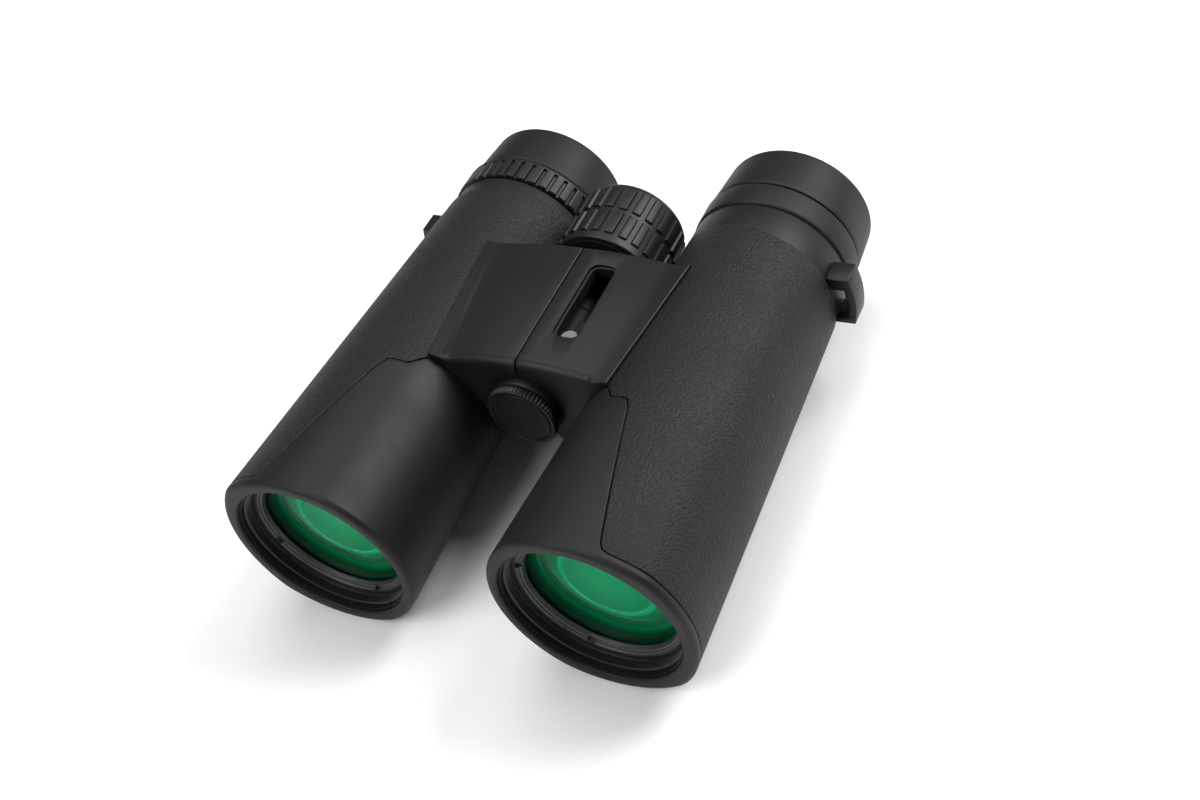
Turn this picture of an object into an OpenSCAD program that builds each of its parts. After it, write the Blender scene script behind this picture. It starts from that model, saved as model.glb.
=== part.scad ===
// Roof-prism binoculars: two barrels on a central hinge, with a focus wheel,
// a dioptre ring and twist-up eyecups. The barrels lie along Y, with the
// objectives towards -Y and the eyepieces towards +Y. "Left" and "right" are
// the user's own, so the right barrel is on the -X side.

/* [Overall] */
// Length from the objective rims to the lowered eyecups
overall_length = 139; // [116:1:167]
// Distance between the eyepiece axes when fully open
eye_spacing = 74; // [62:1:89]
// Radius of the opening in front of each objective
aperture_r = 22.5; // [20.5:0.5:27]
// Height of the hinge axis above the barrel axes
hinge_rise = 9; // [7:0.5:10.5]

/* [Barrels] */
// Wall of the rubber rim around the objective opening
rim_wall = 3.5; // [3.3:0.1:5]
// Radius of the rubber armour where it ends near the eyepiece
armour_back_r = 21.9; // [21.5:0.1:23]
// Thickness of the rubber armour
armour_t = 2.2; // [1.8:0.1:2.5]
// How far each barrel face is flattened at the objective end
face_flat_front = 5; // [1:0.5:7]
// How far each barrel face is flattened at the eyepiece end
face_flat_back = 2; // [0.5:0.5:3]
// How far the side next to the hinge lies inside the other sides
inner_sink = 0.5; // [0:0.1:0.8]
// Width of the seam between the smooth panel and the armour
seam_gap = 0.4; // [0.2:0.1:0.8]
// Length of the smooth rim ring in front of the armour
rim_length = 2.4; // [2:0.1:4]
// Depth of the smooth neck behind the armour
neck_length = 10.7; // [9:0.1:14]

/* [Bridge] */
// Length of the bridge covers
bridge_length = 41.2; // [38:0.1:48]
// Distance from the bridge to the back of the eyecups
bridge_to_back = 48.2; // [46:0.1:56]
// Height of the middle of the bridge above the barrel axes
bridge_crown = 23.7; // [22:0.1:26]
// Drop of the bridge top from its middle to its edges
crown_drop = 1.5; // [0.5:0.1:2.5]
// Depth of the bridge below the hinge axis
bridge_depth = 12; // [10:0.5:14]
// Wall of the bridge covers
cover_wall = 2.2; // [1.6:0.1:3]
// Gap between the two bridge covers
split_gap = 0.5; // [0.3:0.1:1]
// Angle through which the barrels fold together
fold_angle = 58; // [30:1:58]
// Width of the long window in the left cover
window_w = 5.9; // [4.6:0.1:7]
// Length of the long window in the left cover
window_l = 23.9; // [18:0.1:26]
// Distance of the window's middle from the split line
window_x = 8.65; // [8:0.05:9.5]
// How far the window starts behind the bridge's front
window_offset = 11.4; // [10:0.1:13]

/* [Hinge and tripod socket] */
// Radius of the hinge knuckles
knuckle_r = 7; // [6:0.1:8]
// Radius of the hinge pins
pin_r = 4.6; // [4.3:0.1:5]
// Radius of the tripod thread (1/4 inch)
tripod_r = 3.175; // [3:0.005:3.4]
// Depth of the tripod socket
tripod_depth = 8.5; // [6:0.5:9]
// Radius of the collar and the cap at the front of the hinge
cap_r = 9.4; // [8.5:0.1:11]
// Thickness of the knurled tripod cap
cap_t = 2.4; // [2:0.1:3]
// Thickness of the collar behind the cap
collar_t = 2.1; // [1.8:0.1:3]
// Number of knurls around the cap
cap_knurls = 56; // [24:1:60]

/* [Focusing] */
// Length of the focus wheel
wheel_length = 22.2; // [18:0.1:24]
// Gap between the bridge and the focus wheel
wheel_gap = 3.9; // [2.5:0.1:5]
// Gap between the focus wheel and the barrels
wheel_clearance = 0.75; // [0.5:0.05:2]
// Thickness of the rubber grip on the wheel
grip_t = 1.9; // [1.4:0.1:2.6]
// Number of grip pads around the wheel
wheel_pads = 24; // [12:1:30]
// Width of a grip pad
pad_w = 1.95; // [1.4:0.05:2.4]
// How far the pads stand out of the wheel
pad_h = 0.6; // [0.3:0.1:0.8]
// Radius of the focus screw
screw_r = 2.2; // [1.8:0.1:2.4]
// Travel of the focusing lenses
focus_travel = 5; // [3:0.5:6]

/* [Optics] */
// Depth of the retaining ring behind the objective rim
lens_recess = 5.4; // [4:0.1:7]
// Radius of the objective lens
objective_r = 20.7; // [19:0.1:21]
// Radius of the opening in the retaining ring
retainer_open_r = 18.9; // [17:0.1:19.5]
// Length of the objective cell
cell_length = 18.4; // [15:0.1:22]
// Radius of the focusing lens
focus_lens_r = 13.6; // [11:0.1:14]
// Width of the prisms
prism_w = 17; // [14:0.5:18]
// Width of the ledge around an eye lens
eye_lens_ledge = 2.8; // [2:0.1:4]

/* [Eyepieces] */
// Length of an eyecup
eyecup_length = 15.1; // [14:0.1:18]
// Length of the dioptre ring and of the plain collar
ring_length = 7.6; // [6.5:0.1:9]
// Radius of the plain collar
collar_r = 21.6; // [21:0.1:23]
// Radius of the dioptre ring
dioptre_r = 22.1; // [21.8:0.1:23.5]
// Number of blocks around the dioptre ring
dioptre_blocks = 42; // [30:1:50]
// Radius of the eyecup at its lower edge
eyecup_r = 21.2; // [20.8:0.1:22.5]
// Radius of the eyecup at its rear edge
eyecup_back_r = 20.3; // [19.8:0.1:21.5]
// Radius of the tube that guides the eyecup
guide_r = 17.8; // [17:0.1:18]
// Wall of the guide tube
guide_wall = 2.6; // [2:0.1:3]
// Rise of the eyecup
eyecup_rise = 8; // [5:0.5:9]

/* [Strap lugs] */
// Reach of a strap lug from the barrel axis
lug_reach = 27; // [25.5:0.1:30]
// Height of a strap lug
lug_h = 15; // [12:0.5:18]
// Length of a strap lug along the barrel
lug_l = 6.5; // [5:0.1:8]
// Thickness of a strap lug above its slot
lug_top_t = 3.6; // [2:0.1:5]

/* [Fits] */
// Radial clearance of a running fit
running_fit = 0.06; // [0.02:0.01:0.1]
// Clearance between pieces that pass without touching
free_gap = 0.3; // [0.2:0.05:0.5]
// Thickness of a hinge washer
washer_t = 0.4; // [0.3:0.1:0.6]

/* [Hidden] */
$fn = 96;
eps = 0.01;
big = 200;

// Driving places, as distances behind the objective rims
half_spacing = eye_spacing / 2;
front_y = -overall_length / 2;
rim_r = aperture_r + rim_wall;
axis_z = rim_r;
armour_front_r = rim_r;
hinge_reach = norm([half_spacing, hinge_rise]);
hinge_tilt = atan2(hinge_rise, half_spacing);

eyecup_front = overall_length - eyecup_length;
ring_back = eyecup_front - free_gap;
ring_front = ring_back - ring_length;
neck_back = ring_front - free_gap;
armour_end = neck_back - neck_length;
bridge_back = overall_length - bridge_to_back;
bridge_front = bridge_back - bridge_length;
wheel_front = bridge_back + wheel_gap;
wheel_back = wheel_front + wheel_length;
wheel_r = hinge_reach - armour_back_r - 0.4 - wheel_clearance;

// The side next to the hinge is nearly round
inner_flat_front = 2;
inner_flat_back = 1;

// Chassis tube: a cone outside, two plain bores and a wide seat inside
tube_front = 1.2;
tube_front_r = armour_front_r - armour_t;
tube_back_r = armour_back_r - armour_t;
cell_seat_r = aperture_r - 0.5;
cell_back = lens_recess + cell_length;
tube_bore_r = 19.4;
prism_bore_r = tube_back_r - 2.2;
prism_front = bridge_back - 13.5;
prism_length = 24;

// Hinge knuckles: the right arm has the outer pair and the left the inner pair
inside_front = bridge_front + cover_wall + 0.2;
inside_back = bridge_back - cover_wall - 0.2;
knuckle_l = 4.8;
washer_gap = washer_t + 0.2;
right_knuckles = [inside_front, inside_back - knuckle_l];
left_knuckles = [inside_front + knuckle_l + washer_gap, inside_back - 2 * knuckle_l - washer_gap];
pin_front = bridge_front - collar_t;
pin_front_end = left_knuckles[0] + knuckle_l;
pin_rear_start = left_knuckles[1];
pin_rear_end = wheel_front - 0.8;
pin_flange_t = 1.2;

// Focus carriage: a flanged sleeve that carries one arm for each barrel
carriage_front = pin_front_end + 1;
flange_t = 1;
arm_t = 3;
sleeve_r = screw_r + 1.4;
right_arm_y = carriage_front + flange_t;
left_arm_y = right_arm_y + arm_t + 0.2;
carriage_back = left_arm_y + arm_t + 0.2 + flange_t;
arm_half_h = 1.4;
focus_cell_wall = 2.6;
focus_cell_r = focus_lens_r + focus_cell_wall;
focus_cell_front = carriage_front;
focus_cell_length = 9;

// Eyepiece stack
guide_bore_r = guide_r - guide_wall;
eye_lens_r = guide_bore_r - eye_lens_ledge;
guide_end = overall_length - 3.2;
eye_lens_t = 4;
eye_lens_back = eyecup_front + 7.2;
drive_ring_t = 2;
drive_ring_r = eyecup_r - 1;
sleeve_front = eyecup_front + drive_ring_t + 0.4;
sleeve_back = guide_end + 1;
eyecup_sleeve_r = guide_r + 1.4;
eyecup_opening_r = guide_bore_r + 1;
field_cell_front = neck_back - 6;
field_cell_length = 8;

skin_colour = [0.10, 0.10, 0.10];
smooth_colour = [0.13, 0.13, 0.13];
black = [0.04, 0.04, 0.04];
alloy = [0.72, 0.73, 0.75];
steel = [0.55, 0.56, 0.58];
brass = [0.78, 0.62, 0.32];
glass = [0.75, 0.88, 0.92, 0.5];
green_coating = [0.03, 0.48, 0.30, 0.7];

SIDED = ["barrel_tube", "armour", "front_panel", "objective_cell", "objective_lens",
    "objective_retainer", "focusing_cell", "focusing_lens", "prism_frame",
    "schmidt_prism", "half_penta_prism", "eyepiece_housing", "eyecup_guide",
    "field_lens_cell", "field_lens", "eye_lens", "eyecup_drive_ring",
    "eyecup_sleeve", "rubber_eyecup", "strap_lug", "bridge_cover", "hinge_arm",
    "focus_arm"];
SHARED = ["dioptre_ring", "eyepiece_collar", "tripod_socket_pin", "rear_hinge_pin",
    "hinge_washers", "hinge_collar", "tripod_cap", "tripod_cap_seal",
    "focus_carriage", "focus_index", "focus_screw", "focus_wheel_hub",
    "focus_wheel_grip", "focus_wheel_end_cap"];

// Puts children, drawn with +X outwards and +Y backwards, on one barrel's axis
module on_barrel(side)
    translate([side * half_spacing, front_y, axis_z])
        mirror([side < 0 ? 1 : 0, 0, 0]) children();

// Puts children, drawn with +X towards their own barrel, on the hinge axis
module on_hinge(side)
    translate([0, front_y, axis_z + hinge_rise])
        mirror([side < 0 ? 1 : 0, 0, 0]) children();

// Turns children so that -X runs from the barrel axis to the hinge axis
module towards_hinge() rotate([0, hinge_tilt, 0]) children();

module rod(r, from, to) translate([0, from, 0]) rotate([-90, 0, 0]) cylinder(r = r, h = to - from);

module cone(r_from, r_to, from, to)
    translate([0, from, 0]) rotate([-90, 0, 0]) cylinder(r1 = r_from, r2 = r_to, h = to - from);

module ring(r_in, r_out, from, to)
    difference() {
        rod(r_out, from, to);
        rod(r_in, from - 1, to + 1);
    }

// Solid of revolution about Y from an outline of [radius, distance] points
module turned(outline) rotate([-90, 0, 0]) rotate_extrude() polygon(outline);

// Convex lens: flat behind, with a spherical front that bulges towards -Y
module lens(r, front, back, curve_r)
    turned(concat([[0, back], [r, back]],
        [for (i = [8 : -1 : 0]) let (x = r * i / 8)
            [x, front + curve_r - sqrt(curve_r * curve_r - x * x)]]));

module bar(x0, x1, y0, y1, z0, z1) translate([x0, y0, z0]) cube([x1 - x0, y1 - y0, z1 - z0]);

// ---- Barrel shapes ----

// One gently curved face of a barrel: a wide cone set back from the axis
module barrel_face(turn, flat_front, flat_back, sink = 0) {
    taper = (armour_front_r + flat_front - armour_back_r - flat_back) / armour_end;
    rotate([0, turn, 0])
        translate([0, 0, -flat_front])
            rotate([atan2(flat_front - flat_back, armour_end), 0, 0])
                cone(armour_front_r + flat_front - sink + taper, armour_back_r + flat_back - sink - taper,
                    -1, armour_end + 1);
}

// Outer form of the armour: four faces that meet in soft ridges
module barrel_form(from, to)
    intersection() {
        barrel_face(0, face_flat_front, face_flat_back);
        barrel_face(180, face_flat_front, face_flat_back);
        barrel_face(90, face_flat_front, face_flat_back);
        barrel_face(-90, inner_flat_front, inner_flat_back, inner_sink);
        rod(big, from, to);
    }

module tube_form(from, to)
    intersection() {
        cone(tube_front_r, tube_back_r, 0, armour_end);
        rod(big, from, to);
    }

// Plan outline of the smooth panel, on the side of the barrel next to the hinge
function panel_outline(grow) = [
    [-big, -1], [-big, bridge_front + grow], [-12.5, bridge_front + grow],
    [-9, bridge_front - 4.4 + grow], [-5, bridge_front - 4.6 + grow],
    [-3.2 + grow, bridge_front - 6], [7.2 + grow, 5], [9 + grow, rim_length + grow],
    [9 + grow, -1]];

module panel_zone(grow)
    translate([0, 0, -big]) linear_extrude(2 * big) polygon(panel_outline(grow));

// Bridge cover before it is hollowed, around the hinge axis
module cover_blank() {
    crown = bridge_crown - hinge_rise;
    half_w_front = half_spacing - 12.2;
    half_w_back = half_spacing - 7.7;
    dome_r = (half_w_back * half_w_back + crown_drop * crown_drop) / (2 * crown_drop);
    edge_r = 2.6;
    intersection() {
        translate([0, 0, -bridge_depth]) linear_extrude(bridge_depth + crown + 1)
            polygon([[split_gap / 2, bridge_front], [half_w_front, bridge_front],
                [half_w_back, bridge_back], [split_gap / 2, bridge_back]]);
        translate([0, 0, crown - dome_r]) rod(dome_r, bridge_front - 1, bridge_back + 1, $fn = 720);
        translate([-1, 0, 0]) rotate([90, 0, 90]) linear_extrude(half_spacing) union() {
            translate([bridge_front, -bridge_depth]) square([bridge_length, bridge_depth + crown - edge_r]);
            translate([bridge_front + edge_r, -bridge_depth])
                square([bridge_length - edge_r - 1, bridge_depth + crown + 1]);
            translate([bridge_front + edge_r, crown - edge_r]) circle(edge_r);
            translate([bridge_front + edge_r, -bridge_depth])
                square([bridge_length - edge_r, bridge_depth + crown - 1]);
        }
    }
}

// Wedge below the hinge that lets the two halves fold together
module fold_relief() {
    reach = 60;
    translate([0, bridge_front - 5, 0]) rotate([-90, 0, 0]) linear_extrude(bridge_length + 10)
        polygon([[-reach, 0], [split_gap / 2, 0],
            [split_gap / 2 + reach * tan(fold_angle / 2 + 0.5), reach], [-reach, reach]]);
}

// ---- Barrel pieces ----

module barrel_tube(side) color(black) on_barrel(side)
    difference() {
        tube_form(tube_front, armour_end);
        rod(cell_seat_r, tube_front - 1, cell_back);
        rod(tube_bore_r, cell_back - 1, prism_front);
        rod(prism_bore_r, prism_front - 1, armour_end + 1);
        towards_hinge() bar(-tube_front_r - 1, -tube_bore_r + 6, right_arm_y - 1,
            left_arm_y + arm_t + focus_travel + 1, -arm_half_h - 0.8, arm_half_h + 0.8);
    }

module armour(side) color(skin_colour) difference() {
    on_barrel(side) difference() {
        barrel_form(rim_length + seam_gap, armour_end);
        tube_form(-1, armour_end + 1);
        panel_zone(seam_gap);
    }
    on_hinge(side) cover_blank();
}

module front_panel(side) color(smooth_colour) on_barrel(side)
    difference() {
        intersection() {
            barrel_form(0, bridge_front);
            union() {
                panel_zone(0);
                rod(big, -1, rim_length);
            }
        }
        tube_form(tube_front, armour_end);
        rod(aperture_r, -1, rim_length + 1);
    }

module objective_cell(side) color(black) on_barrel(side)
    difference() {
        rod(cell_seat_r, lens_recess, cell_back);
        rod(objective_r, lens_recess - 1, lens_recess + 9.6);
        rod(objective_r - 2.1, lens_recess, cell_back + 1);
    }

module objective_lens(side) color(green_coating) on_barrel(side)
    lens(objective_r, lens_recess + 0.5, lens_recess + 9.6, 105);

module objective_retainer(side) color(black) on_barrel(side)
    difference() {
        turned([[objective_r, lens_recess], [objective_r, lens_recess + 2.4],
            [retainer_open_r, lens_recess + 2], [retainer_open_r, lens_recess + 1.4],
            [retainer_open_r + 0.9, lens_recess]]);
        for (turn = [0, 90, 180, 270]) rotate([0, turn + 35, 0])
            bar(-1.1, 1.1, lens_recess - 1, lens_recess + 1, retainer_open_r - 1, objective_r - 0.5);
    }

module focusing_cell(side) color(black) on_barrel(side)
    ring(focus_lens_r, focus_cell_r, focus_cell_front, focus_cell_front + focus_cell_length);

module focusing_lens(side) color(glass) on_barrel(side)
    lens(focus_lens_r, focus_cell_front + 1.6, focus_cell_front + 6, 60);

module prism_pocket()
    bar(-prism_w / 2, prism_w / 2, prism_front + 1.5, prism_front + prism_length + 1,
        -prism_w / 2, prism_w / 2);

module prism_frame(side) color(black) on_barrel(side)
    difference() {
        rod(prism_bore_r, prism_front + 0.5, prism_front + prism_length);
        prism_pocket();
        rod(prism_w / 2 - 1.5, prism_front - 1, prism_front + 3);
    }

// Outline of one prism in the YZ plane, extruded across the barrel
module prism_block(outline)
    translate([-prism_w / 2, prism_front + 1.5, 0]) rotate([90, 0, 90])
        linear_extrude(prism_w) polygon(outline);

module half_penta_prism(side) color(glass) on_barrel(side)
    prism_block([[0, -prism_w / 2], [0.42 * prism_w, -prism_w / 2],
        [0.83 * prism_w, prism_w / 2], [0, prism_w / 2]]);

module schmidt_prism(side) color(glass) on_barrel(side)
    intersection() {
        prism_block([[0.42 * prism_w + 0.4, -prism_w / 2], [prism_w * 1.28, -prism_w / 2],
            [prism_w * 1.28, prism_w / 2], [0.83 * prism_w + 0.4, prism_w / 2]]);
        translate([0, prism_front, 0]) rotate([90, 0, 0]) mirror([0, 0, 1])
            linear_extrude(prism_length + 5)
                polygon([[-prism_w / 2, -prism_w / 2], [prism_w / 2, -prism_w / 2],
                    [prism_w / 2, 0], [0, prism_w / 2], [-prism_w / 2, 0]]);
    }

// ---- Eyepiece pieces ----

module eyepiece_housing(side) color(smooth_colour) on_barrel(side)
    turned([[guide_bore_r, armour_end], [armour_back_r - 0.25, armour_end],
        [collar_r - 0.3, neck_back], [guide_r, neck_back], [guide_r, ring_back],
        [guide_bore_r, ring_back]]);

module eyecup_guide(side) color(black) on_barrel(side)
    turned([[guide_r, ring_back], [guide_r, guide_end], [guide_bore_r, guide_end],
        [guide_bore_r, eye_lens_back + 0.6], [eye_lens_r, eye_lens_back],
        [eye_lens_r, eye_lens_back - eye_lens_t], [guide_bore_r, eye_lens_back - eye_lens_t],
        [guide_bore_r, ring_back]]);

module eye_lens(side) color(glass) on_barrel(side)
    translate([0, 2 * eye_lens_back - eye_lens_t, 0]) mirror([0, 1, 0])
        lens(eye_lens_r, eye_lens_back - eye_lens_t + 0.1, eye_lens_back, 70);

// The right field lens moves with the dioptre ring, so its cell runs freely
module field_lens_cell(side) {
    fit = side < 0 ? running_fit : 0;
    color(black) on_barrel(side)
        ring(eye_lens_r, guide_bore_r - fit, field_cell_front, field_cell_front + field_cell_length);
}

module field_lens(side) color(glass) on_barrel(side)
    lens(eye_lens_r, field_cell_front + 1.1, field_cell_front + 6, 55);

module eyecup_drive_ring(side) color(black) on_barrel(side)
    ring(guide_r + running_fit, drive_ring_r, eyecup_front, eyecup_front + drive_ring_t);

module eyecup_sleeve(side) color(black) on_barrel(side)
    ring(guide_r + running_fit, eyecup_sleeve_r, sleeve_front, sleeve_back);

module rubber_eyecup(side) color(smooth_colour) on_barrel(side) {
    edge_r = 1.8;
    turned(concat(
        [[drive_ring_r + free_gap, eyecup_front + 0.1], [eyecup_r - 0.3, eyecup_front],
            [eyecup_r, eyecup_front + 0.4]],
        [for (a = [0 : 15 : 90]) [eyecup_back_r - edge_r + edge_r * cos(a),
            overall_length - edge_r + edge_r * sin(a)]],
        [[eyecup_opening_r + 1, overall_length], [eyecup_opening_r, overall_length - 0.8],
            [eyecup_opening_r, sleeve_back], [eyecup_sleeve_r, sleeve_back],
            [eyecup_sleeve_r, sleeve_front], [drive_ring_r + free_gap, sleeve_front]]));
}

module dioptre_ring() color(black) on_barrel(-1)
    difference() {
        turned([[guide_r + running_fit, ring_front], [dioptre_r - 0.5, ring_front],
            [dioptre_r, ring_front + 0.5], [dioptre_r, ring_back - 0.5],
            [dioptre_r - 0.5, ring_back], [guide_r + running_fit, ring_back]]);
        for (i = [0 : dioptre_blocks - 1]) rotate([0, i * 360 / dioptre_blocks, 0])
            bar(-0.45, 0.45, ring_front + 1, ring_back + 1, dioptre_r - 0.8, dioptre_r + 1);
    }

module eyepiece_collar() color(smooth_colour) on_barrel(1)
    turned([[guide_r, neck_back], [collar_r - 0.5, neck_back], [collar_r, neck_back + 0.6],
        [collar_r, ring_back - 0.4], [collar_r - 0.4, ring_back], [guide_r, ring_back]]);

// D-shaped loop on the outer side of the neck, open along the barrel
module strap_lug(side) color(smooth_colour) on_barrel(side) {
    lug_front = armour_end + 0.5;
    bar_t = 2.3;
    difference() {
        translate([0, lug_front, 0.5]) rotate([90, 0, 0]) mirror([0, 0, 1])
            linear_extrude(lug_l) difference() {
                intersection() {
                    translate([15, -lug_h / 2]) square([lug_reach - 15, lug_h]);
                    circle(lug_reach);
                }
                intersection() {
                    translate([15, bar_t - lug_h / 2]) square([lug_reach - 15, lug_h - bar_t - lug_top_t]);
                    circle(lug_reach - bar_t);
                }
            }
        cone(armour_back_r - 0.25, collar_r - 0.3, armour_end, neck_back);
    }
}

// ---- Bridge and hinge ----

module bridge_cover(side) color(smooth_colour) {
    crown = bridge_crown - hinge_rise;
    window_front = bridge_front + window_offset;
    difference() {
        on_hinge(side) difference() {
            cover_blank();
            bar(split_gap / 2 + 1.6, half_spacing, bridge_front + cover_wall,
                bridge_back - cover_wall, cover_wall - bridge_depth, crown - crown_drop - cover_wall);
            rod(knuckle_r + free_gap, bridge_front + cover_wall, bridge_back - cover_wall);
            rod(pin_r + free_gap, bridge_front - 1, bridge_back + 1);
            fold_relief();
            if (side > 0) window_cut(window_front, crown);
        }
        on_barrel(side) tube_form(-1, armour_end + 1);
    }
}

// Long window with round corners and a shallow stepped border
module window_cut(window_front, crown) {
    border = 0.6;
    step = 0.7;
    corner = 1.6;
    for (grow = [0, border])
        translate([window_x, window_front + window_l / 2, grow == 0 ? 2 : crown - step - 0.1])
            linear_extrude(crown) union() {
                square([window_w + 2 * grow, window_l - 2 * corner], center = true);
                square([window_w - 2 * corner, window_l + 2 * grow], center = true);
                for (x = [-1, 1], y = [-1, 1])
                    translate([x * (window_w / 2 - corner), y * (window_l / 2 - corner)])
                        circle(corner + grow);
            }
}

module hinge_arm(side) {
    knuckles = side < 0 ? right_knuckles : left_knuckles;
    fit = side < 0 ? 0 : running_fit;
    beam_x = 10;
    beam_w = 3.5;
    beam_top = -(beam_x + beam_w) * tan(hinge_tilt) - arm_half_h / cos(hinge_tilt) - 0.6;
    color(black) difference() {
        union() {
            on_barrel(side) towards_hinge() for (y = knuckles) {
                translate([-hinge_reach, 0, 0]) rod(knuckle_r, y, y + knuckle_l);
                bar(-hinge_reach + 2, -tube_bore_r + 3, y, y + knuckle_l, -4, 4);
            }
            on_hinge(side) bar(beam_x, beam_x + beam_w, knuckles[0], knuckles[1] + knuckle_l,
                cover_wall + 0.2 - bridge_depth, beam_top);
            if (side < 0) carriage_sleeve();
        }
        on_barrel(side) tube_form(-1, armour_end + 1);
        on_hinge(side) rod(pin_r + fit, 0, overall_length);
    }
}

// Tube between the inner knuckles that closes the hinge round the carriage,
// with a window for each focus arm
module carriage_sleeve() {
    from = pin_front_end + 0.3;
    to = pin_rear_start - 0.3;
    reach = 20;
    difference() {
        union() {
            on_hinge(-1) rod(knuckle_r, from, to);
            on_barrel(-1) towards_hinge() bar(6.4 - hinge_reach, 13 - hinge_reach,
                from + 0.2, from + 1.2, -6, 4);
        }
        on_hinge(-1) rod(sleeve_r + 2.4, from - 1, to + 1);
        on_barrel(-1) towards_hinge() bar(3 - hinge_reach, 8 - hinge_reach,
            right_arm_y - 0.4, right_arm_y + arm_t + focus_travel + 0.4,
            -arm_half_h - 0.6, arm_half_h + 2);
        on_hinge(1) translate([0, left_arm_y - 0.4, 0]) rotate([-90, 0, 0])
            linear_extrude(arm_t + focus_travel + 0.8)
                polygon([[0, -2], [reach, -2], [reach, reach], [-3, reach], [-3, 5], [0, 0]]);
    }
}

module tripod_socket_pin() color(brass) on_hinge(-1)
    difference() {
        rod(pin_r, pin_front, pin_front_end);
        rod(tripod_r, pin_front - 1, pin_front + tripod_depth);
        rod(screw_r + running_fit, pin_front_end - 3, pin_front_end + 1);
    }

module rear_hinge_pin() color(steel) on_hinge(-1)
    difference() {
        union() {
            rod(pin_r, pin_rear_start, pin_rear_end);
            rod(pin_r + 1.4, bridge_back + 0.2, bridge_back + 0.2 + pin_flange_t);
        }
        rod(screw_r + running_fit, pin_rear_start - 1, pin_rear_end + 1);
    }

module hinge_washers() color(brass) on_hinge(-1) {
    ring(pin_r, knuckle_r - 0.3, right_knuckles[0] + knuckle_l, right_knuckles[0] + knuckle_l + washer_t);
    ring(pin_r, knuckle_r - 0.3, right_knuckles[1] - washer_t, right_knuckles[1]);
}

module hinge_collar() color(smooth_colour) on_hinge(-1)
    difference() {
        turned([[pin_r, pin_front], [cap_r - 0.4, pin_front], [cap_r, pin_front + 0.4],
            [cap_r, bridge_front - 0.1], [pin_r, bridge_front - 0.1]]);
        ring(pin_r - 1, pin_r + 2.9, pin_front - 1, pin_front + 0.7);
    }

module tripod_cap_seal() color(black) on_hinge(-1)
    ring(pin_r + 0.6, pin_r + 2.6, pin_front - 0.02, pin_front + 0.5);

module tripod_cap() color(black) on_hinge(-1) {
    cap_back = pin_front - 0.1;
    cap_front = cap_back - cap_t;
    difference() {
        union() {
            turned([[0, cap_front], [cap_r - 0.4, cap_front], [cap_r, cap_front + 0.4],
                [cap_r, cap_back], [0, cap_back]]);
            rod(tripod_r - running_fit, cap_back - 0.5, cap_back + 6.5);
        }
        for (i = [0 : cap_knurls - 1]) rotate([0, i * 360 / cap_knurls, 0])
            translate([0, cap_front - 1, cap_r]) rotate([0, 45, 0])
                bar(-0.3, 0.3, 0, cap_t + 2, -0.3, 0.3);
    }
}

// ---- Focusing pieces ----

module focus_carriage() color(steel) on_hinge(-1)
    difference() {
        union() {
            rod(sleeve_r, carriage_front, carriage_back);
            rod(sleeve_r + 1.8, carriage_front, carriage_front + flange_t);
            rod(sleeve_r + 1.8, carriage_back - flange_t, carriage_back);
        }
        rod(screw_r + running_fit, carriage_front - 1, carriage_back + 1);
    }

module focus_arm_bar(y)
    towards_hinge() bar(-hinge_reach + sleeve_r + 1, -focus_cell_r + 2, y, y + arm_t,
        -arm_half_h, arm_half_h);

module focus_arm(side) {
    arm_y = side < 0 ? right_arm_y : left_arm_y;
    fit = side < 0 ? 0 : running_fit;
    color(steel) difference() {
        on_barrel(side) union() {
            focus_arm_bar(arm_y);
            towards_hinge() translate([-hinge_reach, 0, 0]) rod(sleeve_r + 1.8, arm_y, arm_y + arm_t);
        }
        on_hinge(side) rod(sleeve_r + fit, arm_y - 1, arm_y + arm_t + 1);
        on_barrel(side) rod(focus_cell_r, arm_y - 1, arm_y + arm_t + 1);
    }
}

// Pointer on the left arm, with a round pale tip at the near end of the window
module focus_index() {
    crown = bridge_crown - hinge_rise;
    half_w = 1.8;
    tip_r = 2.1;
    tip_front = bridge_front + window_offset + free_gap + 0.1;
    tip_y = tip_front + 0.9;
    bar_top = crown - 5.2;
    color([0.6, 0.6, 0.6]) difference() {
        on_hinge(1) union() {
            bar(window_x - half_w, window_x + half_w, left_arm_y, left_arm_y + arm_t, -2.1, bar_top);
            bar(window_x - half_w, window_x + half_w, tip_y, left_arm_y + 0.5, bar_top - 1.6, bar_top);
            translate([window_x, tip_y, bar_top - 1.6]) cylinder(r = tip_r, h = crown - 2.2 - bar_top + 1.6);
        }
        on_hinge(1) bar(window_x - 2 * tip_r, window_x + 2 * tip_r, 0, tip_front, bar_top - 2, crown);
        on_barrel(1) towards_hinge() bar(-hinge_reach, 0, left_arm_y - 1, left_arm_y + arm_t + 1,
            -big, arm_half_h);
    }
}

module focus_screw() color(steel) on_hinge(-1) rod(screw_r, pin_front_end - 2.8, wheel_back - 5);

module focus_wheel_hub() color(black) on_hinge(-1)
    turned([[screw_r, wheel_front + 0.6], [pin_r + 0.8, wheel_front + 0.6],
        [pin_r + 0.8, wheel_front + 2.6], [wheel_r - grip_t - 2.2, wheel_front + 2.6],
        [wheel_r - grip_t - 2.2, wheel_front], [wheel_r - grip_t, wheel_front],
        [wheel_r - grip_t, wheel_back - 1.2], [wheel_r - grip_t - 1.8, wheel_back - 1.2],
        [wheel_r - grip_t - 1.8, wheel_back - 3], [screw_r, wheel_back - 3]]);

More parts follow.
